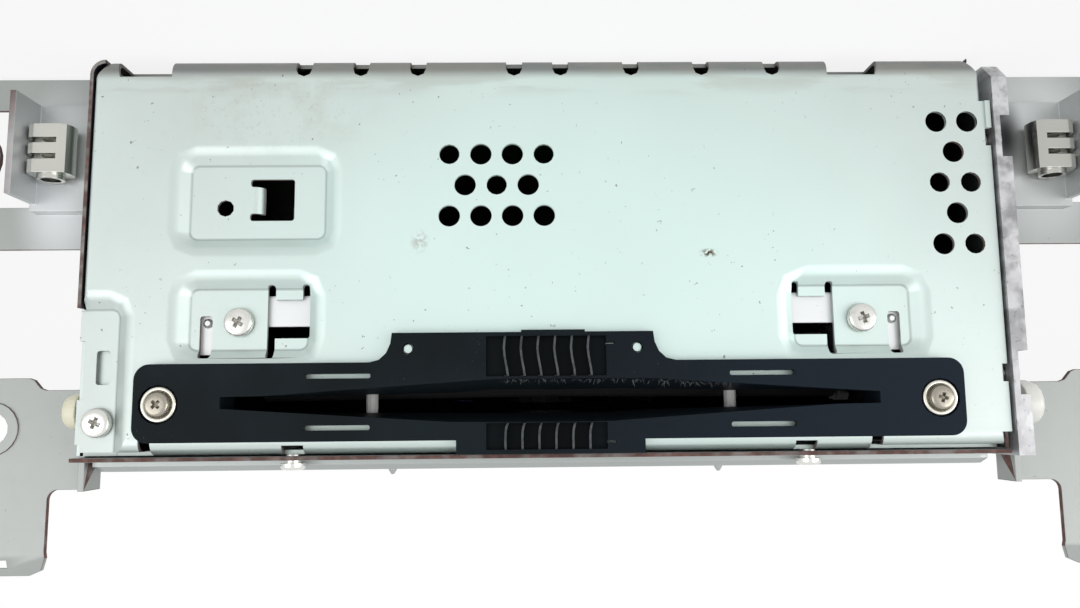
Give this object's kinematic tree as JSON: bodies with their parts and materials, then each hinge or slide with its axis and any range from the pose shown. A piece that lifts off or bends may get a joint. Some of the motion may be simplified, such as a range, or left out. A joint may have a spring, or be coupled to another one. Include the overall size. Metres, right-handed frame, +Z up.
{
  "type": "car cd radio",
  "caption": "Slot-loading car disc radio without its trim panel: sheet-steel case with a black slot bezel, heat-sink side plate and eared dashboard brackets.",
  "frame": {"origin": "centre of the case's underside, halfway along its depth", "axes": "+X to the right of a person who faces the front, +Y from the front to the rear, +Z up; the picture shows the object upside down"},
  "size_m": [0.256, 0.1722, 0.1007],
  "materials": {
    "steel": "zinc-plated, satin",
    "bracket_steel": "zinc-plated, satin, a little darker",
    "deck_steel": "bright plated",
    "aluminium": "raw, slightly dull",
    "screw": "bright nickel",
    "clip": "warm nickel",
    "bezel": "moulded, satin",
    "felt": "short pile",
    "cream": "moulded",
    "acetal": "moulded",
    "board": "solder mask",
    "rubber": "dull",
    "dark": "moulded",
    "lens": "coated",
    "flex": "polyimide film"
  },
  "bodies": {
    "chassis": {"front_plate": "steel", "case_tray": "steel", "top_cover": "steel", "rear_panel": "steel", "bracket_right": "bracket_steel", "bracket_left": "bracket_steel", "tuner_module": "deck_steel", "deck_base": "deck_steel", "disc_guide": "deck_steel", "traverse_plate": "deck_steel", "heat_sink": "aluminium", "spindle_motor": "aluminium", "sled_motor": "aluminium", "loading_motor": "aluminium", "bezel_washer_right": "screw", "bezel_washer_left": "screw", "bezel_screw_right": "screw", "bezel_screw_left": "screw", "deck_screw_right": "screw", "deck_screw_left": "screw", "cover_screw_right": "screw", "cover_screw_left": "screw", "corner_screw": "screw", "heat_sink_screw_lower": "screw", "heat_sink_screw_upper": "screw", "bracket_screw_right_lower": "screw", "bracket_screw_right_upper": "screw", "bracket_screw_left_lower": "screw", "bracket_screw_left_upper": "screw", "guide_rod": "screw", "clip_nut_right": "clip", "clip_nut_left": "clip", "antenna_socket": "clip", "slot_bezel": "bezel", "harness_connector": "bezel", "dust_felt_upper": "felt", "dust_felt_lower": "felt", "guide_button_right": "cream", "guide_button_left": "cream", "main_board": "board", "damper_1": "rubber", "damper_2": "rubber", "damper_3": "rubber", "power_amplifier": "dark", "power_capacitor": "dark", "flat_cable": "flex"},
    "spindle": {"turntable": "bezel"},
    "clamp": {"clamp_arm": "deck_steel"},
    "puck": {"clamp_puck": "dark"},
    "sled": {"pickup_sled": "dark", "objective_lens": "lens"},
    "screw": {"lead_screw": "screw"},
    "roller": {"roller_shaft": "screw", "loading_roller": "rubber"},
    "idler": {"idler_gear": "acetal"},
    "pinion": {"motor_pinion": "acetal"},
    "lever_right": {"sensor_lever_right": "acetal"},
    "lever_left": {"sensor_lever_left": "acetal"}
  },
  "joints": [
    {"name": "turntable_spin", "type": "hinge", "parent": "chassis", "child": "spindle", "pos_m": [-0.0018, 0.005, 0.066], "axis": [0, 0, 1], "continuous": true},
    {"name": "clamp_arm_lift", "type": "hinge", "parent": "chassis", "child": "clamp", "pos_m": [-0.0018, 0.062, 0.0744], "axis": [-1, 0, 0], "range_deg": [0, 3]},
    {"name": "clamp_puck_spin", "type": "hinge", "parent": "clamp", "child": "puck", "pos_m": [-0.0018, 0.005, 0.07], "axis": [0, 0, 1], "continuous": true},
    {"name": "sled_slide", "type": "slide", "parent": "chassis", "child": "sled", "axis": [1, 0, 0], "range_m": [0, 0.035]},
    {"name": "lead_screw_spin", "type": "hinge", "parent": "chassis", "child": "screw", "pos_m": [0.02, 0.019, 0.062], "axis": [1, 0, 0], "range_deg": [0, 4202]},
    {"name": "roller_spin", "type": "hinge", "parent": "chassis", "child": "roller", "pos_m": [-0.0018, -0.061, 0.0629], "axis": [1, 0, 0], "continuous": true},
    {"name": "idler_spin", "type": "hinge", "parent": "chassis", "child": "idler", "pos_m": [-0.0684, -0.04564, 0.058], "axis": [1, 0, 0], "continuous": true},
    {"name": "pinion_spin", "type": "hinge", "parent": "chassis", "child": "pinion", "pos_m": [-0.066, -0.03346, 0.0537], "axis": [1, 0, 0], "continuous": true},
    {"name": "sensor_lever_right_swing", "type": "hinge", "parent": "chassis", "child": "lever_right", "pos_m": [0.0482, -0.03, 0.07], "axis": [0, 0, 1], "range_deg": [0, 28], "stiffness_Nm_per_rad": 0.002},
    {"name": "sensor_lever_left_swing", "type": "hinge", "parent": "chassis", "child": "lever_left", "pos_m": [-0.0518, -0.03, 0.07], "axis": [0, 0, 1], "range_deg": [-28, 0]}
  ],
  "couplings": [
    {"joint": "lead_screw_spin", "follows": "sled_slide", "rad_per_m": 2094.4},
    {"joint": "idler_spin", "follows": "roller_spin", "ratio": -0.81818},
    {"joint": "pinion_spin", "follows": "roller_spin", "ratio": 1.8},
    {"joint": "sensor_lever_left_swing", "follows": "sensor_lever_right_swing", "ratio": -1}
  ]
}
